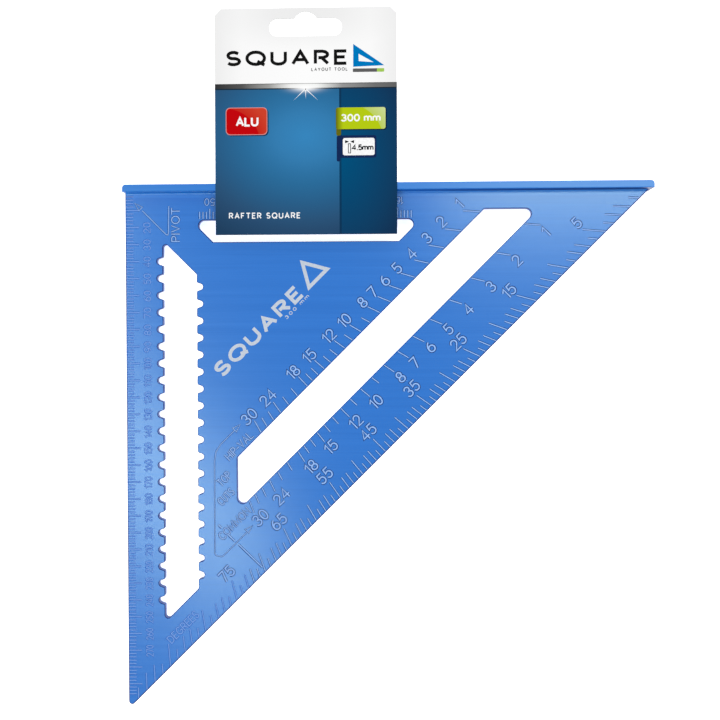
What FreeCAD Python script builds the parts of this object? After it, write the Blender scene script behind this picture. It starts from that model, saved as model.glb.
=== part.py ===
import FreeCAD, Part
import math
import os

# Speed square (rafter square) with its folded display card.
# Frame: the origin is the pivot corner, where the blade's straight edge meets the fence's inner face,
# on the middle plane of the blade. +X runs along the fence, +Y points out through the fence, and
# +Z stands out of the blade's marked face. All sizes are in millimetres.

# Aluminium square
leg = 305.0                  # each straight side of the blade, from the pivot corner
blade_thickness = 4.5
fence_height = 4.2           # fence plate, measured along Y
fence_width = 19.0           # fence plate, measured along Z, with the blade in its middle
fence_overrun = 1.6          # how far the fence runs past the blade's long tip
fence_end_radius = 2.0
fence_edge_chamfer = 0.35
root_radius = 0.8            # hollow corner between blade and fence
toe_radius = 1.9             # rounded tip at the far end of the straight edge
side_chamfer = 0.6           # broken edges of the blade's straight side and long side
opening_chamfer = 0.35       # broken edges of the openings
rim_margin = 5.0             # every opening stays farther than this from the blade's sides

# Notched scribing window
window_left = 22.1
window_width = 20.0
window_top = 27.8            # depth below the fence of the sloping top, at the left side
window_bottom = 253.1        # depth below the fence of the sloping bottom, at the left side
window_corner_radius = 1.75
window_obtuse_radius = 0.6
notch_pitch = 10.0
left_notch_first, left_notch_last = 40.0, 240.0
right_notch_first, right_notch_last = 55.0, 225.0
notch_depth = 3.6
notch_round = 1.9            # radius of the notch's floor
notch_flare = 18.0           # degrees that each notch wall leans outward
notch_lip_radius = 0.9

# Hand slot below the fence
slot_top, slot_bottom = 16.0, 28.9
slot_left, slot_right = 51.7, 160.85     # ends of the slot's lower edge
slot_corner_radius = 3.2

# Slot along the long side
long_slot_inner, long_slot_outer = 220.9, 252.5    # X plus depth, on its two long edges
long_slot_top = 10.5
long_slot_left = 65.4
long_slot_radius = 3.2
slot_obtuse_radius = 0.8

# Display card: one sheet of board, folded through the hand slot and over both lips of the fence
card_thickness = 0.45
card_width = 105.0
card_centre = 107.4
card_top = 104.4
card_fold = 25.6             # depth of the folded edge below the fence's inner face
card_fold_angle = 57.0       # degrees between the front leaf and the leaf that runs back through the slot
card_fold_radius = 0.6
card_bridge_gap = 0.9        # from the blade's back to the board, where it bends under the blade
card_bend_radius = 1.5
card_clearance = 0.32        # gap between the board and the fence
card_corner_cut = 3.8
leaf_join = 52.0             # height above the fence's inner face where the two leaves meet
glue_thickness = 0.15
glue_bottom, glue_top = 62.0, 74.0
glue_side_margin = 6.0

# Hanging hole of the card
hole_width = 41.8
hole_bottom, hole_top = 88.2, 98.2
hole_end_radius = 4.6
hole_crown = 102.1           # top of the round bump in the middle of the hole
hole_crown_half_width = 6.4


def point(x, y, z=0.0):
    return FreeCAD.Vector(x, y, z)


def rounded_wire(corners):
    """Closed wire through (position, radius) corners, with a tangent arc at each rounded corner."""
    ends = []
    arcs = []
    count = len(corners)
    for index, (corner, radius) in enumerate(corners):
        back = (corners[index - 1][0] - corner).normalize()
        ahead = (corners[(index + 1) % count][0] - corner).normalize()
        if radius <= 0.0:
            ends.append((corner, corner))
            arcs.append(None)
            continue
        half_angle = back.getAngle(ahead) / 2.0
        tangent = radius / math.tan(half_angle)
        inward = (back + ahead).normalize()
        middle = corner + inward * (radius / math.sin(half_angle) - radius)
        ends.append((corner + back * tangent, corner + ahead * tangent))
        arcs.append(Part.Arc(ends[-1][0], middle, ends[-1][1]).toShape())
    edges = []
    for index in range(count):
        if arcs[index]:
            edges.append(arcs[index])
        start = ends[index][1]
        stop = ends[(index + 1) % count][0]
        if start.distanceToPoint(stop) > 1e-6:
            edges.append(Part.makeLine(start, stop))
    return Part.Wire(Part.__sortEdges__(edges))


def depth_corners(rows):
    """Corners from (x, depth below the fence, radius) rows."""
    return [(point(x, -depth), radius) for x, depth, radius in rows]


def through_prism(rows):
    """Cutter with the given outline, through the whole blade."""
    outline = Part.Face(rounded_wire(depth_corners(rows)))
    outline.translate(point(0, 0, -blade_thickness))
    return outline.extrude(point(0, 0, 2 * blade_thickness))


def notch_rows(wall_x, outward, depth):
    """One notch in a window wall: lip, floor and lip, in order of growing depth."""
    flare = math.radians(notch_flare)
    floor_centre = notch_depth - notch_round
    apex = floor_centre + notch_round / math.sin(flare)
    half_mouth = apex * math.tan(flare)
    return [
        (wall_x, depth - half_mouth, notch_lip_radius),
        (wall_x + outward * apex, depth, notch_round),
        (wall_x, depth + half_mouth, notch_lip_radius),
    ]


def notch_depths(first, last):
    return [first + notch_pitch * step for step in range(round((last - first) / notch_pitch) + 1)]


def window_rows():
    """Outline of the notched window, down its left side and up its right side."""
    right = window_left + window_width
    rows = [(window_left, window_top, window_corner_radius)]
    for depth in notch_depths(left_notch_first, left_notch_last):
        rows += notch_rows(window_left, -1, depth)
    rows.append((window_left, window_bottom, window_corner_radius))
    rows.append((right, window_bottom - window_width, window_obtuse_radius))
    for depth in reversed(notch_depths(right_notch_first, right_notch_last)):
        rows += reversed(notch_rows(right, 1, depth))
    rows.append((right, window_top + window_width, window_obtuse_radius))
    return rows


def hand_slot_rows():
    height = slot_bottom - slot_top
    return [
        (slot_left, slot_bottom, slot_obtuse_radius),
        (slot_right, slot_bottom, slot_obtuse_radius),
        (slot_right + height, slot_top, slot_corner_radius),
        (slot_left - height, slot_top, slot_corner_radius),
    ]


def long_slot_rows():
    return [
        (long_slot_inner - long_slot_top, long_slot_top, slot_obtuse_radius),
        (long_slot_outer - long_slot_top, long_slot_top, long_slot_radius),
        (long_slot_left, long_slot_outer - long_slot_left, long_slot_radius),
        (long_slot_left, long_slot_inner - long_slot_left, slot_obtuse_radius),
    ]


def break_edges(solid, size, picks):
    """Chamfer the edges that lie in the blade's two broad faces and that picks accepts by their box."""
    half = blade_thickness / 2.0
    edges = []
    for edge in solid.Edges:
        box = edge.BoundBox
        in_face = box.ZLength < 1e-6 and abs(abs(box.ZMin) - half) < 1e-6
        if in_face and picks(box):
            edges.append(edge)
    return solid.makeChamfer(size, edges)


def outside_fence(box):
    return box.YMax <= 0.0


def around_opening(box):
    return outside_fence(box) and box.XMin > rim_margin and box.Center.x - box.Center.y < leg - rim_margin


def blade():
    """Right-angled blade with its three openings. It reaches half-way into the fence."""
    sunk = fence_height / 2.0
    rows = [
        (0.0, -sunk, 0.0),
        (0.0, leg, toe_radius),
        (leg, 0.0, 0.0),
        (leg, -sunk, 0.0),
    ]
    plate = Part.Face(rounded_wire(depth_corners(rows)))
    plate.translate(point(0, 0, -blade_thickness / 2.0))
    solid = break_edges(plate.extrude(point(0, 0, blade_thickness)), side_chamfer, outside_fence)
    for cutter_rows in (window_rows(), hand_slot_rows(), long_slot_rows()):
        solid = solid.cut(through_prism(cutter_rows))
    return break_edges(solid, opening_chamfer, around_opening)


def fence():
    """Fence plate, rounded at its outer ends and broken along its long outer edges."""
    length = leg + fence_overrun
    plate = Part.makeBox(length, fence_height, fence_width, point(0, 0, -fence_width / 2.0))
    end_edges = []
    for edge in plate.Edges:
        box = edge.BoundBox
        if box.ZLength > 1.0 and box.YMin > fence_height / 2.0:
            end_edges.append(edge)
    plate = plate.makeFillet(fence_end_radius, end_edges)
    long_edges = []
    for edge in plate.Edges:
        box = edge.BoundBox
        if box.XLength > length / 2.0:
            long_edges.append(edge)
    return plate.makeChamfer(fence_edge_chamfer, long_edges)


def root_fillet(side):
    """Hollow corner strip between the blade's face and the fence; side is 1 or -1 along Z."""
    face_z = side * blade_thickness / 2.0
    corner = point(side_chamfer, 0.0, face_z)
    on_blade = point(side_chamfer, -root_radius, face_z)
    on_fence = point(side_chamfer, 0.0, face_z + side * root_radius)
    reach = root_radius * (1.0 - math.sqrt(0.5))
    middle = point(side_chamfer, -reach, face_z + side * reach)
    outline = Part.Wire([
        Part.makeLine(corner, on_blade),
        Part.Arc(on_blade, middle, on_fence).toShape(),
        Part.makeLine(on_fence, corner),
    ])
    run = leg - 2.0 * root_radius - 2.0 * side_chamfer
    return Part.Face(outline).extrude(point(run, 0, 0))


def square_body():
    solid = fence().fuse([blade(), root_fillet(1), root_fillet(-1)])
    return solid.removeSplitter()


def leaf_heights():
    """Z of the board's middle plane: front leaf, back leaf under the fence, back leaf where glued."""
    over_lip = fence_width / 2.0 + card_clearance + card_thickness / 2.0
    return over_lip, -over_lip, over_lip - card_thickness - glue_thickness


def card_centre_line():
    """(y, z, bend radius) of the board's middle plane, from the front leaf's top to the back's."""
    front_z, under_z, glued_z = leaf_heights()
    lip_y = -2.0 * card_clearance
    slope = math.radians(card_fold_angle)
    crease_y = -card_fold + card_thickness / 2.0 + card_fold_radius * (1.0 - 1.0 / math.tan(slope / 2.0))
    bridge_z = -blade_thickness / 2.0 - card_bridge_gap
    bridge_y = crease_y + (front_z - bridge_z) / math.tan(slope)
    return [
        (card_top, front_z, 0.0),
        (crease_y, front_z, card_fold_radius),
        (bridge_y, bridge_z, card_bend_radius),
        (lip_y, under_z, card_bend_radius),
        (fence_height + 2.0 * card_clearance, under_z, card_bend_radius),
        (leaf_join, glued_z, card_bend_radius),
        (card_top, glued_z, 0.0),
    ]


def sheet_outline(line, thickness):
    """Outline, in the YZ plane, of a sheet of even thickness along a bent centre line."""
    sides = {1: [], -1: []}
    last = len(line) - 1
    for index, (y, z, radius) in enumerate(line):
        here = point(0, y, z)
        before = line[max(index - 1, 0)]
        after = line[min(index + 1, last)]
        into = (here - point(0, before[0], before[1])) if index > 0 else None
        out = (point(0, after[0], after[1]) - here) if index < last else None
        into = (into or out).normalize()
        out = (out or into).normalize()
        normal_in = point(0, -into.z, into.y)
        normal_out = point(0, -out.z, out.y)
        mitre = (normal_in + normal_out).normalize()
        reach = thickness / 2.0 / mitre.dot(normal_in)
        turn = into.cross(out).x
        for side in sides:
            offset_radius = radius
            if radius > 0.0:
                offset_radius = radius - side * math.copysign(thickness / 2.0, turn)
            sides[side].append((here + mitre * (side * reach), offset_radius))
    return sides[1] + sides[-1][::-1]


def card_blank():
    """The folded sheet, before its top corners and hanging hole are cut."""
    section = Part.Face(rounded_wire(sheet_outline(card_centre_line(), card_thickness)))
    section.translate(point(card_centre - card_width / 2.0, 0, 0))
    return section.extrude(point(card_width, 0, 0))


def leaf_cutter(corners):
    """Prism with a flat outline, through both leaves where they lie together."""
    front_z, _, glued_z = leaf_heights()
    outline = Part.Face(rounded_wire([(point(x, y, glued_z - 1.0), radius) for x, y, radius in corners]))
    return outline.extrude(point(0, 0, front_z - glued_z + 2.0))


def hanging_hole():
    """Wide slot with rounded ends, and a round bump in the middle of its upper edge."""
    left = card_centre - hole_width / 2.0
    right = card_centre + hole_width / 2.0
    slot = leaf_cutter([
        (left, hole_bottom, hole_end_radius),
        (right, hole_bottom, hole_end_radius),
        (right, hole_top, hole_end_radius),
        (left, hole_top, hole_end_radius),
    ])
    crown_rise = hole_crown - hole_top
    crown_radius = (crown_rise ** 2 + hole_crown_half_width ** 2) / (2.0 * crown_rise)
    _, _, glued_z = leaf_heights()
    crown_foot = point(card_centre, hole_crown - crown_radius, glued_z - 1.0)
    crown = Part.makeCylinder(crown_radius, 3.0, crown_foot)
    below = Part.makeBox(hole_width, 4.0 * crown_radius, 5.0,
                         point(left, hole_bottom + 2.0 - 4.0 * crown_radius, glued_z - 2.0))
    return slot.fuse(crown.cut(below))


def corner_cutter(side):
    """Triangle that trims one top corner of the card; side is 1 for right and -1 for left."""
    edge_x = card_centre + side * card_width / 2.0
    reach = 1.0
    return leaf_cutter([
        (edge_x - side * (card_corner_cut + reach), card_top + reach, 0.0),
        (edge_x + side * reach, card_top + reach, 0.0),
        (edge_x + side * reach, card_top - card_corner_cut - reach, 0.0),
    ])


def header_card():
    return card_blank().cut([hanging_hole(), corner_cutter(1), corner_cutter(-1)])


def glue_strip():
    """Band of adhesive that holds the two leaves together above the fence."""
    front_z, _, _ = leaf_heights()
    left = card_centre - card_width / 2.0 + glue_side_margin
    width = card_width - 2.0 * glue_side_margin
    base_z = front_z - card_thickness / 2.0 - glue_thickness
    return Part.makeBox(width, glue_top - glue_bottom, glue_thickness, point(left, glue_bottom, base_z))


def main():
    os.makedirs("parts", exist_ok=True)
    pieces = {
        "square_body": square_body(),
        "header_card": header_card(),
        "glue_strip": glue_strip(),
    }
    for name, shape in pieces.items():
        shape.exportStep(f"parts/{name}.step")


main()
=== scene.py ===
import math

import bmesh
import bpy
from mathutils import Matrix, Vector


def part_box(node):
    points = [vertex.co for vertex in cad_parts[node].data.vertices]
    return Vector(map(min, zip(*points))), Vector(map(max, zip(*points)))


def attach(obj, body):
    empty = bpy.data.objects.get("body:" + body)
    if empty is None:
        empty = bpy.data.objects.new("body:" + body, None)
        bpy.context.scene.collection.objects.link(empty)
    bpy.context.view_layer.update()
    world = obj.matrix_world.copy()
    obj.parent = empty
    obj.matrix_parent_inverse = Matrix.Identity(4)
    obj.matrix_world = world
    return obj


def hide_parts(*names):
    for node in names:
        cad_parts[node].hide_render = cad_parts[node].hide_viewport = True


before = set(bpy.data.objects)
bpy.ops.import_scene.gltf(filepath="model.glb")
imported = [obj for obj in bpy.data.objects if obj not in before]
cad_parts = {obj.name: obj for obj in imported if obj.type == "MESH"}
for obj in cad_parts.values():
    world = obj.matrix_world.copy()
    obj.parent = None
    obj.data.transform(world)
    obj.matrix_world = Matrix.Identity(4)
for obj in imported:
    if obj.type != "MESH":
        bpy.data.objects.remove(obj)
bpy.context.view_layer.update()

# Blue anodised speed square, lying on a pale floor, with its folded display card through the hand slot.
# Sizes are in millimetres. A place is X along the fence and depth below the fence's inner face. Depth is
# minus Y, so it is negative on the part of the card above the fence.
MM = 0.001

# Shape of the CAD square
FACE = 2.25                       # the marked face is this far above the blade's middle plane
LEG = 305.0                       # each straight side of the blade
LONG_SLOT_INNER, LONG_SLOT_OUTER = 220.9, 252.5   # X plus depth on the long slot's two edges
SLOT_TOP = 16.0                   # upper edge of the hand slot
FENCE_MIDDLE = 2.0                # Y of the middle of the fence's thickness
FENCE_ROOT = -1.0                 # faces above this Y belong to the fence or to its hollow corner
LIP_HEIGHT = 8.0                  # faces above this Z and looking up are the fence's upper edge
BROAD, WALL, EDGE, FENCE_WALL, LIP = range(5)     # the square's material slots
LEVEL, SLOPING = 0.9, 0.3         # least share of a normal along Z, for a level and for a sloping face
FACING = 0.8                      # least share of a normal along minus Y, for the fence's inner wall
BROAD_AREA = 2e-6                 # square metres; a larger face is flat
SHARP_EDGE = math.radians(28)     # faces that meet at more than this are not shaded smooth
ROOT_LIGHT_START, ROOT_LIGHT_RISE = -3.2, 2.2   # Y where painted light beside the fence's root starts, and over what it grows to full

# Stroke widths of the stamped marks
MARK_WIDTH = 0.64                 # marks of the scales
DIGIT_WIDTH = 0.96                # large numbers
SMALL_DIGIT_WIDTH = 0.55          # small numbers
WORD_WIDTH = 0.66
THIN_WIDTH, POINTER_WIDTH, BAR_WIDTH = 0.5, 0.55, 0.8   # arrows, the pivot's pointer, the cuts' short bars

# Groove that a stroke is cut as. Its section is across in stroke widths, and height above the face.
DEEP, FAINT = 0, 2                # material slots of a mark: its floor, then its side
MARK_DEPTH = 0.30
GROOVE_SIDE = [(-1.00, 0.06), (-0.80, -0.04), (-0.46, -0.85 * MARK_DEPTH)]
GROOVE = GROOVE_SIDE + [(0.0, -MARK_DEPTH)] + [(-across, height) for across, height in reversed(GROOVE_SIDE)]
GROOVE_FLOOR = (2, 3)             # sides of the section that are the floor
ROUND_END = ((0.30, 0.80), (0.46, 0.40))   # steps past an end: distance in stroke widths, share of the width
GROOVE_MITRE, PRINT_MITRE = 1.6, 2.0       # most that a corner widens a stroke

# Letters and numbers
LABEL_SIZE, WORD_SIZE, PIVOT_SIZE = 6.0, 4.3, 4.6
SMALL_SIZE = 3.9                  # height of a small number
SMALL_LENGTHS = {2: 6.4, 3: 7.0}  # length of a small number with this many digits
LETTER_GAP = 0.26                 # in letter heights

# Rulers: down the straight edge, and along the bridge between the fence and the hand slot
RULER_STEP, RULER_LONG_STEP, RULER_END = 2, 10, 298
RULER_START_X, RULER_SHORT_X, RULER_LONG_X = 0.7, 4.5, 7.9
RULER_NUMBERS = range(20, 280, RULER_LONG_STEP)
RULER_NUMBER_X, RULER_NUMBER_DROP = 12.75, 0.3
BRIDGE_FIRST, BRIDGE_LAST = 44, 168
BRIDGE_SHORT, BRIDGE_LONG, BRIDGE_GAP = 4.6, 6.4, 0.9   # from the slot's edge to a mark's two ends
BRIDGE_NUMBERS = range(50, 170, RULER_LONG_STEP)
BRIDGE_NUMBER_DEPTH = 5.4

# Degree marks. A number stands off its mark's inner end by two distances: away from the pivot corner, and
# along the diagonal towards the fence's far end.
DEGREE_CENTRE = (0.6, -0.3)       # the point that the degree marks fan out from
DEGREE_STARTS = (290.2, 298.2, 294.2, 294.2, 298.2)   # X plus depth at 0, 1, 2, 3 and 4 degrees past a five
DEGREE_END = LEG - 1.0
DEGREE_LABEL = (-3.6, 0.5)
DEGREE_LABELS = {5: (-3.7, 0.1), 15: (-3.6, -1.0)}    # numbers that stand off the usual place
FAINT_DEGREES = 72                # marks beyond this are faint
DIAGONAL = math.radians(45)

# Roof-pitch scales, one on each side of the long slot. Their numbers stand off the marks' far ends likewise.
PITCH_CENTRE = (0.0, 0.0)
PITCH_GAP = 1.2                   # from the slot's edge to the marks
RUN = 12.0                        # the rises are over this run
LABELLED_RISES = (1, 2, 3, 4, 5, 6, 7, 8, 10, 12, 15, 18, 24, 30)
RISES = tuple(range(1, 19)) + (20, 22, 24, 26, 28, 30)
COMMON_SCALE = dict(run=RUN, edge=LONG_SLOT_OUTER, direction=1, long_reach=10.4, short_reach=7.9,
                    label=(3.45, 0.35), nudges={1: (3.6, -0.6)})
HIP_NUDGES = {1: (-3.2, 0.7), 2: (-3.3, 0.9), 3: (-2.8, 1.4), 4: (-2.8, 0.9), 5: (-2.8, 0.2), 6: (-2.8, 0.2)}
HIP_SCALE = dict(run=RUN * math.sqrt(2.0), edge=LONG_SLOT_INNER, direction=-1, long_reach=11.0,
                 short_reach=8.4, label=(-3.0, -0.3), nudges=HIP_NUDGES)

# Display card
CARD_FACE = 10.27                 # front face of the card, above the blade's middle plane
CARD_CENTRE = 107.4
CARD_HALF = 52.5                  # half of the card's width
STRIP_LEFT = 126.7                # left edge of the field's darker strip
SEAM_HALF = 0.6                   # half of the width of the dark seam at that edge
BAND_SHADOW, BAND_LOW, BAND_LIP, BAND_HIGH = 57.8, 58.5, 60.8, 61.2   # Y where the band's parts meet
FRONT_LOW, BACK_HIGH = 9.0, 9.5   # Z above which a face can be the front's, and below which the back's
TURNED = 0.25                     # least share of a normal along Z, for a face turned to the front or back

# Printing
PRINT_THICKNESS = 0.012
PRINT_ROOT = 0.01                 # how far the printing reaches into its face
STROKE_STEP, STROKE_STEPS = 0.002, 4   # strokes differ by such steps in height, so crossing tops never meet
PRINT_GAIN = 0.835                # share of a shown colour that the ink needs to reflect

# Stage
CAMERA_LENS, CAMERA_SENSOR = 51.75, 36.0
CAMERA_AIM, CAMERA_DISTANCE = (137.8, 98.3), 607.3
CAMERA_LEAN = {"X": 0.0194, "Y": -0.0376, "Z": 0.0025}   # radians
FLOOR_HALF = 4000.0
FLOOR_GAP = 0.05                  # between the floor and the card's lowest fold
SKY_STRENGTH, FLOOR_GLOW = 0.74, 0.80
PANEL_HEIGHT = 1200.0


def at(x, depth, z=FACE):
    """Point in metres, at a place and a height above the blade's middle plane."""
    return Vector((x * MM, -depth * MM, z * MM))


def add_object(name, data):
    """Object with this mesh, light or camera, in the scene."""
    made = bpy.data.objects.new(name, data)
    bpy.context.scene.collection.objects.link(made)
    return made


def finished_mesh(work, name):
    """Mesh of a bmesh, which is used up."""
    mesh = bpy.data.meshes.new(name)
    work.to_mesh(mesh)
    work.free()
    return mesh


# ----------------------------------------
# Materials
# ----------------------------------------

def srgb(red, green, blue):
    """Linear colour of an 8-bit colour as a screen shows it."""
    def linear(value):
        value /= 255.0
        return value / 12.92 if value <= 0.04045 else ((value + 0.055) / 1.055) ** 2.4
    return (linear(red), linear(green), linear(blue), 1.0)


def printed(red, green, blue):
    """Linear ink colour that shows as this 8-bit colour under the studio light."""
    return tuple(channel * PRINT_GAIN for channel in srgb(red, green, blue)[:3]) + (1.0,)


def printed_stops(*stops):
    """Stops of a ramp of printed colour, each given as its position and its 8-bit colour."""
    return [(position, printed(*colour)) for position, *colour in stops]


class Nodes:
    """Short way to build one material's nodes."""

    def __init__(self, name):
        self.material = bpy.data.materials.new(name)
        self.material.use_nodes = True
        self.tree = self.material.node_tree
        self.shader = self.tree.nodes["Principled BSDF"]

    def add(self, kind, **settings):
        node = self.tree.nodes.new(kind)
        for name, value in settings.items():
            setattr(node, name, value)
        return node

    def link(self, source, target):
        self.tree.links.new(source, target)

    def set(self, **values):
        for name, value in values.items():
            self.shader.inputs[name.replace("_", " ")].default_value = value

    def place(self, scale):
        """Object position, stretched: a larger scale makes finer detail along that axis."""
        source = self.add("ShaderNodeTexCoord")
        mapping = self.add("ShaderNodeMapping")
        mapping.inputs["Scale"].default_value = scale
        self.link(source.outputs["Object"], mapping.inputs["Vector"])
        return mapping.outputs["Vector"]

    def noise(self, scale, detail=3.0, roughness=0.5):
        node = self.add("ShaderNodeTexNoise")
        node.inputs["Scale"].default_value = 1.0
        node.inputs["Detail"].default_value = detail
        node.inputs["Roughness"].default_value = roughness
        self.link(self.place(scale), node.inputs["Vector"])
        return node.outputs["Fac"]

    def ramp(self, factor, *stops):
        node = self.add("ShaderNodeValToRGB")
        elements = node.color_ramp.elements
        while len(elements) < len(stops):
            elements.new(0.5)
        for element, (position, colour) in zip(elements, stops):
            element.position = position
            element.color = colour
        self.link(factor, node.inputs["Fac"])
        return node.outputs["Color"]

    def math(self, operation, first, second=0.0, third=0.0, clamp=False):
        node = self.add("ShaderNodeMath", operation=operation, use_clamp=clamp)
        for socket, value in zip(node.inputs, (first, second, third)):
            if isinstance(value, (int, float)):
                socket.default_value = value
            else:
                self.link(value, socket)
        return node.outputs["Value"]

    def mix(self, factor, first, second, blend="MIX"):
        node = self.add("ShaderNodeMix", data_type="RGBA", blend_type=blend)
        for socket, value in zip((node.inputs[0], node.inputs[6], node.inputs[7]), (factor, first, second)):
            if isinstance(value, (int, float, tuple)):
                socket.default_value = value
            else:
                self.link(value, socket)
        return node.outputs[2]

    def axes(self):
        """X, Y and Z of the object position, in millimetres."""
        split = self.add("ShaderNodeSeparateXYZ")
        self.link(self.place((1 / MM, 1 / MM, 1 / MM)), split.inputs["Vector"])
        return split.outputs

    def distance(self, centre, stretch=(1.0, 1.0)):
        """Distance from a centre, given as X and Y, with each axis stretched, in millimetres."""
        x, y, _ = self.axes()
        off_x = self.math("MULTIPLY", self.math("SUBTRACT", x, centre[0]), stretch[0])
        off_y = self.math("MULTIPLY", self.math("SUBTRACT", y, centre[1]), stretch[1])
        square = self.math("ADD", self.math("MULTIPLY", off_x, off_x), self.math("MULTIPLY", off_y, off_y))
        return self.math("SQRT", square)

    def bump(self, height, strength, distance):
        node = self.add("ShaderNodeBump")
        node.inputs["Strength"].default_value = strength
        node.inputs["Distance"].default_value = distance
        self.link(height, node.inputs["Height"])
        self.link(node.outputs["Normal"], self.shader.inputs["Normal"])


def brushed_blue(name, dark, light, roughness, gloss, root=None):
    """Blue anodised aluminium, brushed along the fence: a coloured body under a clear oxide sheen.

    A root colour is painted light: the brushed colour fades into it beside the fence's root, to lighten the
    shade that the fence casts there."""
    nodes = Nodes(name)
    fine = nodes.noise((22.0, 2400.0, 2400.0), detail=4.0, roughness=0.65)
    broad = nodes.noise((5.0, 420.0, 420.0), detail=3.0, roughness=0.6)
    streak = nodes.math("MULTIPLY_ADD", broad, 0.5, nodes.math("MULTIPLY", fine, 0.5))
    body = nodes.ramp(streak, (0.25, dark), (0.75, light))
    # Painted light: beside the fence's root the colour turns to the lighter root colour, against the fence's
    # shade.
    if root:
        into_root_light = nodes.math("SUBTRACT", nodes.axes()[1], ROOT_LIGHT_START)
        body = nodes.mix(nodes.math("DIVIDE", into_root_light, ROOT_LIGHT_RISE, clamp=True), body, root)
    nodes.link(body, nodes.shader.inputs["Base Color"])
    nodes.link(nodes.math("MULTIPLY_ADD", streak, 0.16, roughness - 0.08), nodes.shader.inputs["Roughness"])
    nodes.set(Metallic=0.04, Anisotropic=0.45, IOR=1.5, Specular_IOR_Level=gloss,
              Specular_Tint=(0.80, 1.0, 0.57, 1.0))
    along = nodes.add("ShaderNodeTangent", direction_type="UV_MAP", uv_map="brush")
    nodes.link(along.outputs["Tangent"], nodes.shader.inputs["Tangent"])
    nodes.bump(streak, 0.06, 0.00003)
    return nodes.material


def shaded_wall(name, *stops):
    """Inner wall of the fence, in the shade towards its far end. The stops run along X, in millimetres."""
    nodes = Nodes(name)
    along = nodes.math("DIVIDE", nodes.axes()[0], LEG)
    colour = nodes.ramp(along, *[(x / LEG, colour) for x, colour in stops])
    streak = nodes.noise((22.0, 900.0, 900.0))
    grain = nodes.ramp(streak, (0.3, (0.9, 0.9, 0.9, 1.0)), (0.7, (1.0, 1.0, 1.0, 1.0)))
    nodes.link(nodes.mix(1.0, colour, grain, "MULTIPLY"), nodes.shader.inputs["Base Color"])
    nodes.set(Roughness=0.35, Specular_IOR_Level=0.2)
    return nodes.material


def stamped_metal(name, dark, light):
    """Floor of the stamped marks: duller and paler than the brushed face."""
    nodes = Nodes(name)
    grain = nodes.noise((1800.0, 1800.0, 1800.0), detail=2.0)
    colour = nodes.ramp(grain, (0.3, dark), (0.7, light))
    nodes.link(colour, nodes.shader.inputs["Base Color"])
    nodes.link(nodes.math("MULTIPLY_ADD", grain, 0.2, 0.40), nodes.shader.inputs["Roughness"])
    nodes.set(Metallic=0.2)
    nodes.bump(grain, 0.15, 0.00003)
    return nodes.material


def cut_blue(name, dark, light, metallic, roughness, gloss):
    """Anodised metal on the narrow faces: milled walls, broken edges and the sides of the stamped marks. The
    darker colours that they are given are painted shade.
    """
    nodes = Nodes(name)
    grain = nodes.noise((900.0, 900.0, 260.0), detail=3.0)
    nodes.link(nodes.ramp(grain, (0.3, dark), (0.7, light)), nodes.shader.inputs["Base Color"])
    nodes.link(nodes.math("MULTIPLY_ADD", grain, 0.10, roughness - 0.05), nodes.shader.inputs["Roughness"])
    nodes.set(Metallic=metallic, Specular_IOR_Level=gloss)
    nodes.bump(grain, 0.08, 0.00002)
    return nodes.material


def ink(name, colour, roughness=0.5):
    """Flat printing ink with a faint uneven coverage."""
    nodes = Nodes(name)
    grain = nodes.noise((900.0, 900.0, 900.0), detail=3.0)
    darker = tuple(0.90 * channel for channel in colour[:3]) + (1.0,)
    nodes.link(nodes.ramp(grain, (0.35, darker), (0.6, colour)), nodes.shader.inputs["Base Color"])
    nodes.link(nodes.math("MULTIPLY_ADD", grain, 0.1, roughness - 0.05), nodes.shader.inputs["Roughness"])
    nodes.set(Specular_IOR_Level=0.0)
    nodes.bump(grain, 0.05, 0.00001)
    return nodes.material


# ----------------------------------------
# Stroke lettering, stamped and printed. A glyph is a width and its strokes, in units of its height.
# ----------------------------------------

def arc(centre_x, centre_y, radius_x, radius_y, start, stop, steps=12):
    """Points along part of an ellipse, with angles in degrees from its right end."""
    points = []
    for step in range(steps + 1):
        angle = math.radians(start + (stop - start) * step / steps)
        points.append((centre_x + radius_x * math.cos(angle), centre_y + radius_y * math.sin(angle)))
    return points


def ring(centre_x, centre_y, radius_x, radius_y):
    """Whole ellipse, from its top."""
    return arc(centre_x, centre_y, radius_x, radius_y, 90, 450, 20)


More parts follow.
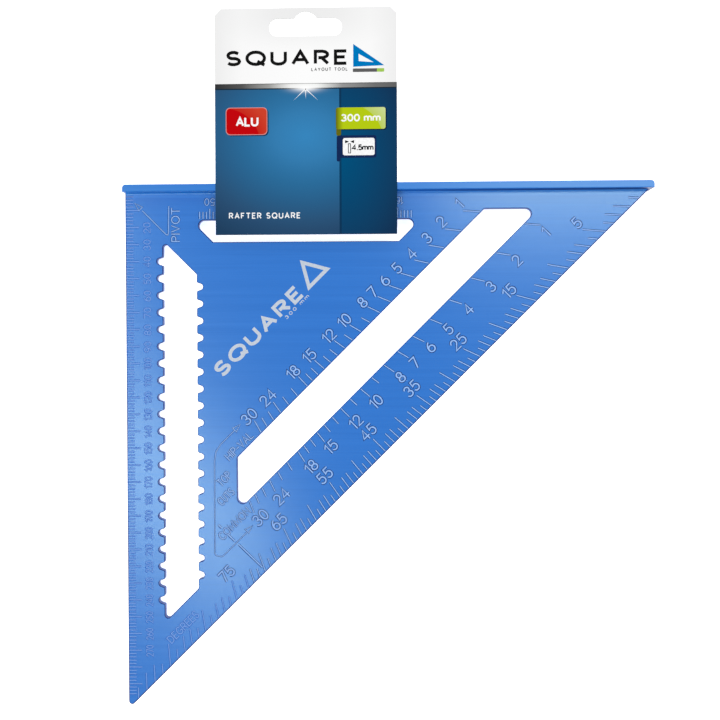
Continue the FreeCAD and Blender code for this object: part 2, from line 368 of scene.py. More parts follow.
SIX = [ring(0.31, 0.31, 0.31, 0.31), arc(0.62, 0.33, 0.62, 0.67, 178, 112, 6)]
BOWL = ([(0.0, 0.0), (0.0, 1.0), (0.30, 1.0)] + arc(0.30, 0.74, 0.28, 0.26, 80, -80, 8)
        + [(0.30, 0.48), (0.14, 0.48)])
GLYPHS = {
    "0": (0.60, [ring(0.30, 0.5, 0.30, 0.5)]),
    "1": (0.26, [[(0.0, 0.76), (0.26, 1.0), (0.26, 0.0)]]),
    "2": (0.60, [arc(0.30, 0.70, 0.29, 0.30, 165, -30, 10) + [(0.02, 0.0), (0.60, 0.0)]]),
    "3": (0.60, [arc(0.29, 0.75, 0.25, 0.25, 155, -90, 10), arc(0.29, 0.26, 0.30, 0.26, 90, -155, 10)]),
    "4": (0.66, [[(0.48, 0.0), (0.48, 1.0), (0.0, 0.28), (0.66, 0.28)]]),
    "5": (0.60, [[(0.55, 1.0), (0.12, 1.0), (0.06, 0.55)] + arc(0.29, 0.32, 0.31, 0.32, 125, -145, 12)]),
    "6": (0.62, SIX),
    "7": (0.60, [[(0.0, 1.0), (0.60, 1.0), (0.20, 0.0)]]),
    "8": (0.60, [ring(0.30, 0.75, 0.24, 0.25), ring(0.30, 0.26, 0.30, 0.26)]),
    "9": (0.62, [[(0.62 - x, 1.0 - y) for x, y in stroke] for stroke in SIX]),
    "-": (0.34, [[(0.0, 0.45), (0.34, 0.45)]]),
    ".": (0.16, [[(0.0, 0.04), (0.16, 0.04)]]),
    " ": (0.20, []),
    "A": (0.72, [[(0.0, 0.0), (0.36, 1.0), (0.72, 0.0)], [(0.13, 0.34), (0.59, 0.34)]]),
    "C": (0.70, [arc(0.42, 0.5, 0.42, 0.5, 48, 312, 14)]),
    "D": (0.70, [[(0.30, 0.0), (0.0, 0.0), (0.0, 1.0), (0.30, 1.0)] + arc(0.30, 0.5, 0.40, 0.5, 80, -80, 10)
          + [(0.30, 0.0)]]),
    "E": (0.52, [[(0.52, 1.0), (0.0, 1.0), (0.0, 0.0), (0.52, 0.0)], [(0.0, 0.52), (0.44, 0.52)]]),
    "F": (0.50, [[(0.50, 1.0), (0.0, 1.0), (0.0, 0.0)], [(0.0, 0.52), (0.42, 0.52)]]),
    "G": (0.78, [arc(0.42, 0.5, 0.42, 0.5, 48, 335, 14) + [(0.80, 0.46), (0.46, 0.46)]]),
    "H": (0.66, [[(0.0, 0.0), (0.0, 1.0)], [(0.66, 0.0), (0.66, 1.0)], [(0.0, 0.5), (0.66, 0.5)]]),
    "I": (0.0, [[(0.0, 0.0), (0.0, 1.0)]]),
    "L": (0.50, [[(0.0, 1.0), (0.0, 0.0), (0.50, 0.0)]]),
    "M": (0.80, [[(0.0, 0.0), (0.0, 1.0), (0.40, 0.25), (0.80, 1.0), (0.80, 0.0)]]),
    "N": (0.66, [[(0.0, 0.0), (0.0, 1.0), (0.66, 0.0), (0.66, 1.0)]]),
    "O": (0.84, [ring(0.42, 0.5, 0.42, 0.5)]),
    "P": (0.58, [BOWL]),
    "Q": (0.84, [ring(0.42, 0.5, 0.42, 0.5), [(0.50, 0.25), (0.84, -0.06)]]),
    "R": (0.60, [BOWL, [(0.30, 0.48), (0.60, 0.0)]]),
    "S": (0.58, [arc(0.29, 0.74, 0.26, 0.26, 30, 250, 9) + arc(0.29, 0.25, 0.29, 0.25, 70, -150, 9)]),
    "T": (0.66, [[(0.0, 1.0), (0.66, 1.0)], [(0.33, 1.0), (0.33, 0.0)]]),
    "U": (0.64, [[(0.0, 1.0), (0.0, 0.32)] + arc(0.32, 0.32, 0.32, 0.32, 190, 350, 8)
          + [(0.64, 0.32), (0.64, 1.0)]]),
    "V": (0.70, [[(0.0, 1.0), (0.35, 0.0), (0.70, 1.0)]]),
    "Y": (0.68, [[(0.0, 1.0), (0.34, 0.48), (0.68, 1.0)], [(0.34, 0.48), (0.34, 0.0)]]),
    "m": (0.86, [[(0.0, 0.0), (0.0, 0.70)], arc(0.215, 0.45, 0.215, 0.25, 180, 0, 8) + [(0.43, 0.0)],
                 arc(0.645, 0.45, 0.215, 0.25, 180, 0, 8) + [(0.86, 0.0)]]),
}


def is_closed(path):
    """True where a path ends at its first point."""
    return (Vector(path[0]) - Vector(path[-1])).length < 1e-6


def turn_at(before, point, after, limit):
    """Heading of a path through one of its points, and how much the corner there widens a stroke.

    There is nothing before an open path's first point, or after its last."""
    into = (point - before).normalized() if before else None
    out = (after - point).normalized() if after else None
    heading = ((into or out) + (out or into)).normalized()
    return heading, 1.0 / max(heading.dot(into or out), 1.0 / limit)


def stroke_stations(path, width):
    """Where along a groove it has a section: the place, the heading and the share of the full width."""
    closed = is_closed(path)
    points = [Vector(point) for point in (path[:-1] if closed else path)]
    stations = []
    for index, point in enumerate(points):
        before = points[index - 1] if closed or index > 0 else None
        after = points[(index + 1) % len(points)] if closed or index < len(points) - 1 else None
        stations.append((point, *turn_at(before, point, after, GROOVE_MITRE)))
    if not closed:
        first, last = stations[0], stations[-1]
        for reach, scale in ROUND_END:
            stations.insert(0, (first[0] - first[1] * reach * width, first[1], scale))
            stations.append((last[0] + last[1] * reach * width, last[1], scale))
    return stations


def sweep(cutter, path, width, tone=DEEP):
    """Adds one groove cutter to a bmesh: a round-ended stroke along a path of places."""
    rings = []
    for point, heading, scale in stroke_stations(path, width):
        across = Vector((-heading.y, heading.x)) * width * scale
        loop = []
        for side, height in GROOVE:
            spot = point + across * side
            loop.append(cutter.verts.new(at(spot.x, spot.y, FACE + height)))
        rings.append(loop)
    pairs = list(zip(rings, rings[1:]))
    if is_closed(path):
        pairs.append((rings[-1], rings[0]))
    else:
        cutter.faces.new(rings[0])
        cutter.faces.new(rings[-1][::-1])
    for near, far in pairs:
        for index in range(len(GROOVE)):
            following = (index + 1) % len(GROOVE)
            side = cutter.faces.new((near[following], near[index], far[index], far[following]))
            side.material_index = tone if index in GROOVE_FLOOR else tone + 1


def text_paths(text, centre, size, angle, width, gap=LETTER_GAP, length=None):
    """Stroke paths of a line of text about its centre; the angle turns it anticlockwise, in radians.

    With a length, the letters are narrowed or widened to fill it."""
    natural = sum(GLYPHS[letter][0] for letter in text) + gap * (len(text) - 1)
    stretch = 1.0 if length is None else (length - width) / (natural * size)
    along = Vector((math.cos(angle), -math.sin(angle))) * size * stretch
    upward = Vector((-math.sin(angle), -math.cos(angle))) * size
    cursor = -natural / 2.0
    for letter in text:
        advance, strokes = GLYPHS[letter]
        for stroke in strokes:
            yield [Vector(centre) + along * (cursor + x) + upward * (y - 0.5) for x, y in stroke]
        cursor += advance + gap


def letters(cutter, text, centre, size, angle, width=DIGIT_WIDTH, length=None, tone=DEEP):
    """Stamps a line of text about its centre."""
    for path in text_paths(text, centre, size, angle, width, length=length):
        sweep(cutter, path, width, tone)


def small_number(cutter, number, centre, angle, tone=DEEP):
    """Stamps a ruler's number, at the usual length for its digits."""
    length = SMALL_LENGTHS[len(str(number))]
    letters(cutter, str(number), centre, SMALL_SIZE, angle, SMALL_DIGIT_WIDTH, length, tone)


# ----------------------------------------
# Stamped scales of the square
# ----------------------------------------

def straight_ruler(cutter):
    """Millimetre ruler down the straight edge, numbered every 10 mm."""
    for depth in range(RULER_STEP, RULER_END, RULER_STEP):
        stop = RULER_SHORT_X if depth % RULER_LONG_STEP else RULER_LONG_X
        sweep(cutter, [(RULER_START_X, depth), (stop, depth)], MARK_WIDTH, FAINT)
    for depth in RULER_NUMBERS:
        small_number(cutter, depth, (RULER_NUMBER_X, depth + RULER_NUMBER_DROP), math.pi / 2.0, FAINT)


def bridge_ruler(cutter):
    """Ruler along the hand slot's upper edge, numbered to be read from the fence side."""
    for x in range(BRIDGE_FIRST, BRIDGE_LAST + 1, RULER_STEP):
        reach = BRIDGE_SHORT if x % RULER_LONG_STEP else BRIDGE_LONG
        sweep(cutter, [(x, SLOT_TOP - reach), (x, SLOT_TOP - BRIDGE_GAP)], MARK_WIDTH)
    for x in BRIDGE_NUMBERS:
        small_number(cutter, x, (x, BRIDGE_NUMBER_DEPTH), math.pi)


def on_ray(centre, tangent, total):
    """Where the ray from a centre, falling by tangent for each unit of X, has this X plus depth."""
    run = (total - sum(centre)) / (1.0 + tangent)
    return centre[0] + run, centre[1] + tangent * run


def ray_mark(cutter, centre, tangent, near_sum, far_sum, tone=DEEP):
    """Mark along a ray, between two diagonals of the same X plus depth."""
    sweep(cutter, [on_ray(centre, tangent, near_sum), on_ray(centre, tangent, far_sum)], MARK_WIDTH, tone)


def beside(centre, tangent, total, away, along):
    """Spot off the end of a ray mark: away from the pivot corner, and along towards the fence's far end."""
    x, depth = on_ray(centre, tangent, total)
    return x + away + along, depth + away - along


def degree_scale(cutter):
    """One mark for each degree along the long edge, numbered at 5, 15, ... 75."""
    for degree in range(1, 90):
        start = DEGREE_STARTS[degree % len(DEGREE_STARTS)]
        tone = FAINT if degree > FAINT_DEGREES else DEEP
        ray_mark(cutter, DEGREE_CENTRE, math.tan(math.radians(degree)), start, DEGREE_END, tone)
    for degree in range(5, 85, 10):
        away, along = DEGREE_LABELS.get(degree, DEGREE_LABEL)
        spot = beside(DEGREE_CENTRE, math.tan(math.radians(degree)), DEGREE_STARTS[0], away, along)
        letters(cutter, str(degree), spot, LABEL_SIZE, DIAGONAL)


def rise_scale(cutter, run, edge, direction, long_reach, short_reach, label, nudges):
    """Roof-pitch scale on one side of the long slot: rays whose tangent is rise over run.

    The direction is 1 away from the pivot corner and -1 towards it."""
    for rise in RISES:
        reach = long_reach if rise in LABELLED_RISES else short_reach
        tangent = rise / run
        inner, outer = sorted((edge + direction * PITCH_GAP, edge + direction * reach))
        ray_mark(cutter, PITCH_CENTRE, tangent, inner, outer)
        if rise in LABELLED_RISES:
            away, along = nudges.get(rise, label)
            spot = beside(PITCH_CENTRE, tangent, edge + direction * long_reach, away, along)
            letters(cutter, str(rise), spot, LABEL_SIZE, DIAGONAL)


def open_arrow(cutter, tip, heading, length=4.6, half_width=1.5):
    """Slim open arrowhead: two sides and a base."""
    heading = Vector(heading).normalized()
    across = Vector((-heading.y, heading.x))
    left = Vector(tip) - heading * length + across * half_width
    right = Vector(tip) - heading * length - across * half_width
    sweep(cutter, [left, Vector(tip), right, left], THIN_WIDTH)


def rounded_path(points, radius, steps=6):
    """The same open path with each of its corners rounded."""
    path = [Vector(points[0])]
    for before, corner, after in zip(points, points[1:], points[2:]):
        corner = Vector(corner)
        back = (Vector(before) - corner).normalized()
        ahead = (Vector(after) - corner).normalized()
        reach = radius / math.tan(back.angle(ahead) / 2.0)
        start = corner + back * reach
        stop = corner + ahead * reach
        for step in range(steps + 1):
            t = step / steps
            path.append(start * (1 - t) ** 2 + corner * 2 * t * (1 - t) + stop * t ** 2)
    path.append(Vector(points[-1]))
    return path


def pivot_pointer(cutter):
    """The word PIVOT, its underline and the arrow from it to the pivot corner."""
    underline = [(25.8, 7.8), (25.5, 25.7), (10.2, 10.3)]
    letters(cutter, "PIVOT", (29.7, 18.6), PIVOT_SIZE, math.pi / 2.0, WORD_WIDTH, length=20.0)
    sweep(cutter, rounded_path(underline, radius=1.2), POINTER_WIDTH)
    open_arrow(cutter, tip=(5.8, 5.9), heading=(-1.0, -1.0))


def cut_pointer(cutter):
    """The line with an arrow at each end that ties the two roof-pitch scales to their titles."""
    line = [(64.0, 139.4), (55.6, 147.8), (52.8, 152.2), (52.0, 157.6), (51.9, 213.4), (56.4, 214.1),
            (71.0, 199.4)]
    words = (("HIP-VAL", (66.5, 148.7), 20.5), ("TOP", (57.6, 168.1), 9.2), ("CUTS", (58.6, 178.6), 11.2),
             ("COMMON", (63.5, 194.5), 24.0))
    bars = (((54.2, 195.4), (55.8, 197.0)), ((60.2, 201.4), (63.4, 204.6)), ((66.2, 207.0), (79.6, 219.9)))
    sweep(cutter, rounded_path(line, radius=2.4), THIN_WIDTH)
    for tip in ((67.2, 136.0), (74.2, 195.7)):
        open_arrow(cutter, tip, heading=(1.0, -1.0))
    for text, centre, length in words:
        letters(cutter, text, centre, WORD_SIZE, DIAGONAL, WORD_WIDTH, length=length)
    for start, stop in bars:
        sweep(cutter, [start, stop], BAR_WIDTH)


def mark_materials():
    """Floor and side of the deep marks, then of the faint ones. The sides' dark colours are painted shade in
    the grooves.
    """
    return [stamped_metal("stamped_metal", srgb(118, 160, 220), srgb(142, 181, 234)),
            cut_blue("groove_side_painted_shade", srgb(12, 36, 94), srgb(18, 46, 110), 0.0, roughness=0.5, gloss=0.1),
            stamped_metal("ruler_metal", srgb(96, 142, 208), srgb(112, 154, 216)),
            cut_blue("ruler_side_painted_shade", srgb(40, 90, 172), srgb(50, 102, 186), 0.0, roughness=0.5, gloss=0.1)]


def mark_cutter():
    """Every stamped mark as one cutter mesh."""
    cutter = bmesh.new()
    straight_ruler(cutter)
    bridge_ruler(cutter)
    degree_scale(cutter)
    rise_scale(cutter, **COMMON_SCALE)
    rise_scale(cutter, **HIP_SCALE)
    letters(cutter, "DEGREES", (32.6, 256.0), WORD_SIZE, DIAGONAL, WORD_WIDTH, length=24.0, tone=FAINT)
    pivot_pointer(cutter)
    cut_pointer(cutter)
    bmesh.ops.recalc_face_normals(cutter, faces=cutter.faces)
    marks = add_object("marks", finished_mesh(cutter, "marks"))
    for material in mark_materials():
        marks.data.materials.append(material)
    return marks


def copy_node(node, name, materials):
    """A welded copy of a CAD node's mesh, with flat faces merged, ready to be reworked."""
    work = bmesh.new()
    work.from_mesh(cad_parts[node].data)
    bmesh.ops.remove_doubles(work, verts=work.verts, dist=1e-7)
    bmesh.ops.dissolve_limit(work, angle_limit=math.radians(0.05), verts=work.verts, edges=work.edges)
    mesh = finished_mesh(work, name)
    for material in materials:
        mesh.materials.append(material)
    return add_object(name, mesh)


def face_slot(face):
    """Material slot of a face that isn't part of a mark, from where it is and which way it looks."""
    middle = face.calc_center_median()
    level = abs(face.normal.z)
    if middle.y < FENCE_ROOT * MM:
        return BROAD if level > LEVEL else EDGE if level > SLOPING else WALL
    if face.normal.y < -FACING:
        return FENCE_WALL
    return LIP if middle.z > LIP_HEIGHT * MM else BROAD


def finish_faces(mesh):
    """Keeps each broad flat face flat, gives the narrow faces and the fence their own materials, and adds
    the map that carries the brushing direction."""
    work = bmesh.new()
    work.from_mesh(mesh)
    brush = work.loops.layers.uv.new("brush")
    for face in work.faces:
        face.smooth = True
        if face.material_index == BROAD:
            face.material_index = face_slot(face)
        for loop in face.loops:
            # The brush runs along X. Z is mixed in so that the map isn't a line on upright faces.
            x, y, z = loop.vert.co
            loop[brush].uv = (3.0 * y + 1.5 * z, 3.0 * x + z)
    for edge in work.edges:
        broad = any(face.calc_area() > BROAD_AREA for face in edge.link_faces)
        edge.smooth = not (broad or edge.calc_face_angle(0.0) > SHARP_EDGE)
    work.to_mesh(mesh)
    work.free()


def square_materials():
    """The square's materials, in the order of its slots."""
    # face_blue's root colour is painted light beside the fence's root; the face's own colour is its two
    # streak colours.
    return [brushed_blue("face_blue", srgb(0, 96, 188), srgb(14, 108, 203), roughness=0.22, gloss=0.70,
                         root=srgb(44, 132, 226)),
            # Painted shade: the milled walls and the broken edges get darker blues than the face, for the
            # dark that they reflect.
            cut_blue("wall_painted_shade", srgb(16, 58, 130), srgb(24, 72, 148), 0.2, roughness=0.4, gloss=0.3),
            cut_blue("edge_painted_shade", srgb(6, 32, 104), srgb(10, 40, 118), 0.0, roughness=0.5, gloss=0.1),
            shaded_wall("fence_blue", (0.0, srgb(24, 122, 212)), (110.0, srgb(22, 116, 210)),
                        (160.0, srgb(24, 116, 214)), (195.0, srgb(12, 78, 164)), (230.0, srgb(8, 64, 146)),
                        (LEG, srgb(6, 46, 112))),
            brushed_blue("lip_blue", srgb(8, 104, 194), srgb(14, 109, 200), roughness=0.32, gloss=0.60)]


def stamp(piece):
    """Cuts every stamped mark into a piece."""
    marks = mark_cutter()
    cut = piece.modifiers.new("marks", "BOOLEAN")
    cut.object = marks
    cut.operation = "DIFFERENCE"
    cut.solver = "EXACT"
    cut.use_self = True
    cut.material_mode = "TRANSFER"
    bpy.context.view_layer.update()
    graph = bpy.context.evaluated_depsgraph_get()
    carved = bpy.data.meshes.new_from_object(piece.evaluated_get(graph))
    piece.modifiers.clear()
    piece.data = carved
    bpy.data.objects.remove(marks)


def stamped_square():
    """The square with its scales really cut into the marked face."""
    piece = copy_node("square_body", "stamped_square", square_materials())
    stamp(piece)
    finish_faces(piece.data)
    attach(piece, "square")
    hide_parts("square_body")


# ----------------------------------------
# Printing: flat prisms a few hundredths of a millimetre thick
# ----------------------------------------

class Print:
    """One colour of printing on one face: everything added to it becomes one thin piece."""

    def __init__(self, face, layer=1):
        self.work = bmesh.new()
        self.low = face - PRINT_ROOT
        self.high = face + PRINT_THICKNESS * layer
        self.strokes = 0

    def area(self, outline, step=0.0):
        """Fills a convex outline."""
        low = [self.work.verts.new(at(x, depth, self.low)) for x, depth in outline]
        high = [self.work.verts.new(at(x, depth, self.high + step)) for x, depth in outline]
        self.work.faces.new(low[::-1])
        self.work.faces.new(high)
        for index in range(len(outline)):
            following = (index + 1) % len(outline)
            self.work.faces.new((low[index], low[following], high[following], high[index]))

    def plate(self, left, top, right, bottom, radius):
        """Rectangle with rounded corners."""
        outline = []
        for x, depth, start in ((right, top, 0), (left, top, 90), (left, bottom, 180), (right, bottom, 270)):
            inset_x = radius if x == left else -radius
            inset_depth = radius if depth == top else -radius
            outline += [(px, 2.0 * (depth + inset_depth) - pd) for px, pd in
                        arc(x + inset_x, depth + inset_depth, radius, radius, start, start + 90, 6)]
        self.area(outline)

    def stroke(self, path, width):
        """Pen stroke of even width with mitred corners."""
        closed = is_closed(path)
        points = [Vector(point) for point in path]
        sides = []
        for index, point in enumerate(points):
            before = points[index - 1] if index > 0 else (points[-2] if closed else None)
            after = points[index + 1] if index < len(points) - 1 else (points[1] if closed else None)
            heading, stretch = turn_at(before, point, after, PRINT_MITRE)
            across = Vector((-heading.y, heading.x)) * (0.5 * width * stretch)
            sides.append((point + across, point - across))
        self.strokes += 1
        step = STROKE_STEP * (self.strokes % STROKE_STEPS)
        for (left, right), (next_left, next_right) in zip(sides, sides[1:]):
            self.area([left, next_left, next_right, right], step)

    def text(self, text, centre, size, width, length, angle=0.0, gap=LETTER_GAP):
        """Line of text about its centre."""
        for path in text_paths(text, centre, size, angle, width, gap, length):
            self.stroke(path, width)

    def finish(self, name, material, body):
        """Makes the piece from everything added."""
        bmesh.ops.recalc_face_normals(self.work, faces=self.work.faces)
        piece = add_object(name, finished_mesh(self.work, name))
        piece.data.materials.append(material)
        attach(piece, body)


def blade_title():
    """Pale title printed on the blade: a generic word, a right-triangle sign and the size."""
    title = Print(FACE)
    title.text("SQUARE", (78.2, 81.4), size=7.0, width=2.0, length=69.0, angle=DIAGONAL, gap=0.34)
    title.text("300 mm", (101.0, 67.0), size=1.7, width=0.4, length=19.0, angle=DIAGONAL, gap=0.5)
    corner, along, upward = Vector((108.2, 55.7)), Vector((10.6, -10.6)), Vector((-9.2, -9.2))
    title.stroke([corner, corner + along, corner + along * 0.5 + upward, corner], width=2.1)
    title.finish("blade_title", ink("title_ink", printed(204, 213, 226), 0.45), "square")


def header_colour(nodes, x):
    """Pale header, greyer towards the card's sides and round the heading."""
    off_centre = nodes.math("ABSOLUTE", nodes.math("SUBTRACT", x, CARD_CENTRE))
    paper = nodes.ramp(nodes.math("DIVIDE", off_centre, CARD_HALF),
                       *printed_stops((0.0, 253, 253, 253), (0.7, 250, 250, 250), (1.0, 239, 239, 239)))
    round_heading = nodes.math("DIVIDE", nodes.distance((CARD_CENTRE, 101.0), (0.45, 1.0)), 24.0)
    shade = nodes.ramp(round_heading, (0.0, srgb(239, 239, 239)), (0.35, srgb(242, 242, 242)),
                       (0.5, srgb(246, 246, 246)), (0.8, srgb(252, 252, 252)), (1.0, srgb(255, 255, 255)))
    return nodes.mix(1.0, paper, shade, "MULTIPLY")


def band_colour(nodes, x):
    """Bright metal band, brightest at its middle."""
    across = nodes.math("DIVIDE", nodes.math("SUBTRACT", x, CARD_CENTRE - CARD_HALF), 2.0 * CARD_HALF)
    return nodes.ramp(across, *printed_stops(
        (0.0, 50, 51, 53), (0.15, 84, 84, 84), (0.30, 160, 160, 158), (0.42, 240, 240, 238),
        (0.56, 240, 242, 240), (0.70, 150, 150, 150), (0.88, 112, 112, 112), (1.0, 98, 98, 98)))


def field_colour(nodes, x):
    """Blue field that darkens from its middle, with a darker strip at its right."""
    from_middle = nodes.math("DIVIDE", nodes.distance((CARD_CENTRE, 31.0), (1.0, 1.3)), 91.0)
    field = nodes.ramp(from_middle, *printed_stops(
        (0.0, 55, 134, 190), (0.19, 53, 125, 177), (0.30, 47, 115, 164), (0.40, 43, 107, 153),
        (0.56, 42, 94, 136), (0.69, 43, 83, 120), (0.77, 41, 76, 111), (0.94, 33, 64, 95)))
    down_strip = nodes.math("DIVIDE", nodes.distance((127.0, 20.0), (1.2, 0.75)), 50.0)
    strip = nodes.ramp(down_strip, *printed_stops(
        (0.05, 3, 80, 123), (0.40, 10, 71, 112), (0.75, 17, 61, 98), (1.0, 21, 50, 83)))
    seam = nodes.math("COMPARE", x, STRIP_LEFT + SEAM_HALF, SEAM_HALF)
    strip = nodes.mix(nodes.math("MULTIPLY", seam, 0.55), strip, printed(16, 40, 66))
    return nodes.mix(nodes.math("GREATER_THAN", x, STRIP_LEFT), field, strip)


def front_colour(nodes, header):
    """Front of the card, from its foot up: field, shadow line, glowing band with a dark lip, header."""
    x, y, _ = nodes.axes()
    band = band_colour(nodes, x)
    lip = nodes.mix(1.0, band, (0.35, 0.35, 0.35, 1.0), "MULTIPLY")
    spread = nodes.distance((CARD_CENTRE, 58.6), (1 / 7.5, 1 / 2.1))
    glow = nodes.math("EXPONENT", nodes.math("MULTIPLY", nodes.math("MULTIPLY", spread, spread), -1.0))
    field = field_colour(nodes, x)
    front = nodes.mix(nodes.math("GREATER_THAN", y, BAND_SHADOW), field, printed(30, 46, 60))
    front = nodes.mix(nodes.math("GREATER_THAN", y, BAND_LOW), front, band)
    front = nodes.mix(nodes.math("GREATER_THAN", y, BAND_LIP), front, lip)
    front = nodes.mix(glow, front, printed(255, 255, 255))
    return nodes.mix(nodes.math("GREATER_THAN", y, BAND_HIGH), front, header)


def card_board():
    """Printed board: coloured on its outer faces, with bare fibres on its inner faces and edges."""
    nodes = Nodes("printed_board")
    x, y, z = nodes.axes()
    header = header_colour(nodes, x)
    fibres = nodes.noise((700.0, 700.0, 2500.0), detail=3.0)
    bare = nodes.ramp(fibres, *printed_stops((0.3, 226, 224, 218), (0.7, 240, 239, 235)))
    facing = nodes.add("ShaderNodeSeparateXYZ")
    nodes.link(nodes.add("ShaderNodeTexCoord").outputs["Normal"], facing.inputs["Vector"])
    outer_back = nodes.math("MULTIPLY", nodes.math("LESS_THAN", facing.outputs["Z"], -TURNED),
                            nodes.math("LESS_THAN", z, BACK_HIGH))
    outer_front = nodes.math("MULTIPLY", nodes.math("GREATER_THAN", facing.outputs["Z"], TURNED),
                             nodes.math("GREATER_THAN", z, FRONT_LOW))
    back = nodes.mix(nodes.math("GREATER_THAN", y, BAND_HIGH), printed(40, 84, 122), header)
    colour = nodes.mix(outer_back, bare, back)
    colour = nodes.mix(outer_front, colour, front_colour(nodes, header))
    nodes.link(colour, nodes.shader.inputs["Base Color"])
    nodes.link(nodes.math("MULTIPLY_ADD", fibres, 0.08, 0.50), nodes.shader.inputs["Roughness"])
    nodes.set(Specular_IOR_Level=0.0)
    nodes.bump(fibres, 0.04, 0.00002)
    return nodes.material


def glossy_badge(name, colour, gloss, centre, radius, curl=None):
    """Badge ink with a lighter gloss outside a circle, as if light swept over it, that grows outwards.

    The curl is the X where a badge rolls away into its darker colour, how far it takes, and that colour."""
    nodes = Nodes(name)
    away = nodes.distance(centre)
    growth, least = 0.09, 0.35
    share = nodes.math("MULTIPLY_ADD", nodes.math("SUBTRACT", away, radius), growth, least, clamp=True)
    lit = nodes.math("MULTIPLY", share, nodes.math("GREATER_THAN", away, radius))
    shown = nodes.mix(lit, colour, gloss)
    if curl:
        start, run, darker = curl
        off_curl = nodes.math("SUBTRACT", nodes.axes()[0], start)
        shown = nodes.mix(nodes.math("DIVIDE", off_curl, run, clamp=True), darker, shown)
    nodes.link(shown, nodes.shader.inputs["Base Color"])
    nodes.set(Roughness=0.45, Specular_IOR_Level=0.0)
    return nodes.material


def card_print(name, material, layer, draw):
    """One colour of the card's printing, on a layer that lies on the layers before it."""
    sheet = Print(CARD_FACE, layer)
    draw(sheet)
    sheet.finish(name, material, "card")


def card_plate(name, material, layer, left, top, right, bottom, radius):
    """Rounded plate printed on the card."""
    card_print(name, material, layer, lambda sheet: sheet.plate(left, top, right, bottom, radius))


def card_text(name, material, layer, text, centre, size, width, length, gap):
    """Line of text printed on the card."""
    card_print(name, material, layer, lambda sheet: sheet.text(text, centre, size, width, length, gap=gap))


def header_print():
    """Generic heading: a word, a small line under it and a right-triangle sign."""
    black = ink("black_ink", printed(22, 22, 22))
    grey = ink("grey_ink", printed(95, 95, 95))
    blue = ink("blue_ink", printed(0, 122, 192))
    green = ink("green_ink", printed(165, 205, 90))
    triangle = [(136.4, -71.8), (149.6, -71.8), (136.4, -80.4), (136.4, -71.8)]

    card_text("heading", black, 1, "SQUARE", (96.6, -75.8), size=7.0, width=1.85, length=70.5, gap=0.36)
    card_text("heading_line", grey, 1, "LAYOUT TOOL", (121.2, -69.0),
              size=1.6, width=0.38, length=21.0, gap=0.5)
    card_print("triangle_sign", blue, 1, lambda sheet: sheet.stroke(triangle, width=3.2))
    card_plate("rule_sign", grey, 1, 134.6, -69.2, 152.6, -67.2, radius=0.4)
    card_plate("rule_sign_end", green, 2, 148.4, -69.2, 152.6, -67.2, radius=0.4)


def glint_print(white):
    """Three thin rays of the printed glint on the metal band."""
    root = Vector((CARD_CENTRE, -58.0))

    def rays(sheet):
        for aside, tip_depth in ((0.0, -52.0), (-7.2, -51.2), (7.2, -51.2)):
            tip = Vector((CARD_CENTRE + aside, tip_depth))
            heading = (tip - root).normalized()
            across = Vector((-heading.y, heading.x)) * 0.32
            sheet.area([root - across, root + across, tip])

    card_print("glint", white, 1, rays)


def red_badge(white):
    """Badge for the material."""
    shadow = ink("shadow_ink", printed(22, 58, 92))
    outline = ink("outline_ink", printed(226, 150, 146))
    red = glossy_badge("red_badge", printed(194, 8, 14), printed(206, 66, 44), (60.0, 26.0), radius=21.2)
    card_plate("red_shadow", shadow, 1, 61.8, -47.0, 85.9, -31.2, radius=2.6)
    card_plate("red_outline", outline, 2, 61.1, -47.6, 85.2, -31.8, radius=2.6)
    card_plate("red_badge", red, 3, 61.5, -47.2, 84.8, -32.2, radius=2.3)
    card_text("red_text", white, 4, "ALU", (73.5, -39.5), size=4.5, width=1.15, length=13.2, gap=0.24)


def green_badge(white):
    """Badge for the size, which curls over at its left end."""
    shadow = ink("deep_shadow_ink", printed(10, 36, 62))
    olive = ink("olive_ink", printed(104, 104, 22))
    green = glossy_badge("green_badge", printed(181, 202, 20), printed(203, 218, 150), (131.0, 28.0),
                         radius=21.0, curl=(124.6, 4.4, printed(96, 96, 14)))
    card_plate("green_shadow", shadow, 1, 127.0, -46.9, 154.0, -34.0, radius=1.6)
    card_plate("green_curl", olive, 2, 124.9, -44.0, 127.7, -30.8, radius=1.2)
    card_plate("green_badge", green, 3, 124.7, -47.0, 153.3, -34.6, radius=1.2)
    card_text("green_text", white, 4, "300 mm", (139.0, -41.1), size=3.5, width=0.85, length=23.0, gap=0.24)


def thickness_sign(sheet):
    """The stock's thickness, with an arrow to each side of its section."""
    section = [(131.9, -26.2), (133.2, -26.2), (133.2, -20.9), (131.9, -20.9), (131.9, -26.2)]
    sheet.text("4.5mm", (140.1, -24.1), size=2.7, width=0.70, length=12.6, gap=0.16)
    sheet.stroke(section, width=0.42)
    for tip, tail in ((132.3, 130.0), (132.9, 135.2)):
        sheet.area([(tip, -27.4), (tail, -28.3), (tail, -26.5)])


def navy_badge(white):
    """Badge for the stock's thickness."""
    navy = ink("navy_ink", printed(22, 42, 86))
    dark = ink("dark_ink", printed(22, 24, 28))
    card_plate("navy_badge", navy, 3, 125.2, -31.0, 148.0, -18.2, radius=1.2)
    card_plate("navy_curl", navy, 2, 125.2, -22.0, 127.2, -16.1, radius=0.9)
    card_plate("white_badge", white, 4, 128.7, -29.5, 147.0, -19.6, radius=1.2)
    card_print("thickness_sign", dark, 5, thickness_sign)


def card_printing():
    """All printing that stands on the card's front."""
    white = ink("white_ink", printed(255, 255, 255))
    header_print()
    glint_print(white)
    red_badge(white)
    green_badge(white)
    navy_badge(white)
    card_text("foot_text", white, 1, "RAFTER SQUARE", (83.4, 14.6),
              size=2.9, width=0.62, length=41.5, gap=0.42)


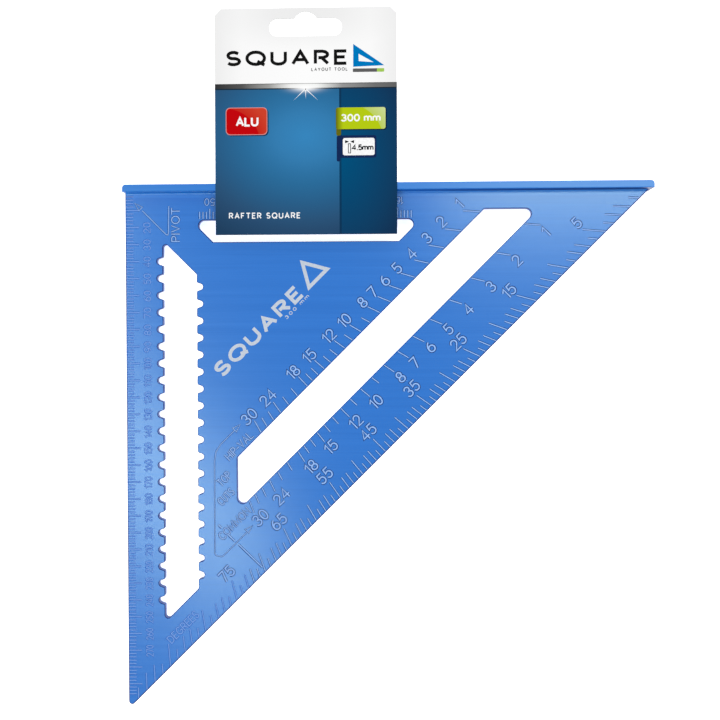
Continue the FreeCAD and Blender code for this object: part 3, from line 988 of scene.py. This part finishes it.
def glue():
    """Dried clear adhesive between the card's leaves."""
    nodes = Nodes("dried_glue")
    ripple = nodes.noise((260.0, 260.0, 260.0), detail=2.0)
    nodes.link(nodes.ramp(ripple, (0.3, srgb(222, 216, 190)), (0.7, srgb(238, 234, 214))),
               nodes.shader.inputs["Base Color"])
    nodes.set(Roughness=0.3)
    nodes.bump(ripple, 0.3, 0.00005)
    return nodes.material


def dress_node(node, material):
    """Gives a CAD node its material."""
    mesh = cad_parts[node].data
    mesh.materials.clear()
    mesh.materials.append(material)


# ----------------------------------------
# Stage
# ----------------------------------------

def add_camera():
    """Camera above the square, leaning a degree or two off square to the blade."""
    data = bpy.data.cameras.new("view")
    data.sensor_width = CAMERA_SENSOR
    data.lens = CAMERA_LENS
    data.clip_start = 0.01
    camera = add_object("view", data)
    turn_x, turn_y, turn_z = (Matrix.Rotation(angle, 4, axis) for axis, angle in CAMERA_LEAN.items())
    lean = turn_z @ turn_y @ turn_x
    camera.matrix_world = (Matrix.Translation(at(*CAMERA_AIM, 0.0)) @ lean.transposed()
                           @ Matrix.Translation((0.0, 0.0, CAMERA_DISTANCE * MM)))
    bpy.context.scene.camera = camera


def floor_paint():
    """Matt white, which glows so that the floor shows as a plain pale ground."""
    nodes = Nodes("floor")
    cloud = nodes.noise((6.0, 6.0, 6.0))
    nodes.link(nodes.ramp(cloud, (0.3, srgb(246, 246, 247)), (0.7, srgb(250, 250, 250))),
               nodes.shader.inputs["Base Color"])
    nodes.set(Roughness=0.9, Emission_Strength=FLOOR_GLOW, Emission_Color=(1.0, 1.0, 1.0, 1.0))
    return nodes.material


def add_floor():
    """Pale floor. The card's fold under the fence and the blade's far tip rest on it, so it leans."""
    card_low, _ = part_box("header_card")
    square_low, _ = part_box("square_body")
    tip = Vector((0.0, square_low.y, -FACE * MM))
    rest = Vector((0.0, FENCE_MIDDLE * MM, card_low.z - FLOOR_GAP * MM))
    lean = math.atan2(tip.z - rest.z, rest.y - tip.y)
    half = FLOOR_HALF * MM
    corners = [(-half, -half, 0), (half, -half, 0), (half, half, 0), (-half, half, 0)]
    mesh = bpy.data.meshes.new("floor")
    mesh.from_pydata(corners, [], [(0, 1, 2, 3)])
    mesh.materials.append(floor_paint())
    floor = add_object("floor", mesh)
    floor.matrix_world = Matrix.Translation(rest) @ Matrix.Rotation(-lean, 4, "X")


def add_panel(name, centre, size, radiance, turn=0.0):
    """Soft panel lying level above the work; its size is along X and depth, and its turn in radians."""
    data = bpy.data.lights.new(name, "AREA")
    data.shape = "RECTANGLE"
    data.size, data.size_y = size[0] * MM, size[1] * MM
    data.energy = radiance * math.pi * data.size * data.size_y
    light = add_object(name, data)
    light.location = at(*centre, PANEL_HEIGHT)
    light.rotation_euler.z = turn


def add_light():
    """Soft studio light: a pale sky and three broad panels, two off the ends of the long edge and one beyond
    the straight edge."""
    world = bpy.data.worlds.new("studio")
    bpy.context.scene.world = world
    world.use_nodes = True
    background = world.node_tree.nodes["Background"]
    background.inputs["Color"].default_value = (1.0, 1.0, 1.0, 1.0)
    background.inputs["Strength"].default_value = SKY_STRENGTH
    add_panel("key", centre=(540, -315), size=(600, 320), radiance=9.6)
    add_panel("fill", centre=(-230, 360), size=(430, 170), radiance=7.9, turn=-DIAGONAL)
    add_panel("side", centre=(-410, 150), size=(160, 760), radiance=4.2)


stamped_square()
blade_title()
dress_node("header_card", card_board())
dress_node("glue_strip", glue())
card_printing()
add_floor()
add_light()
add_camera()
bpy.context.scene.view_settings.view_transform = "Standard"
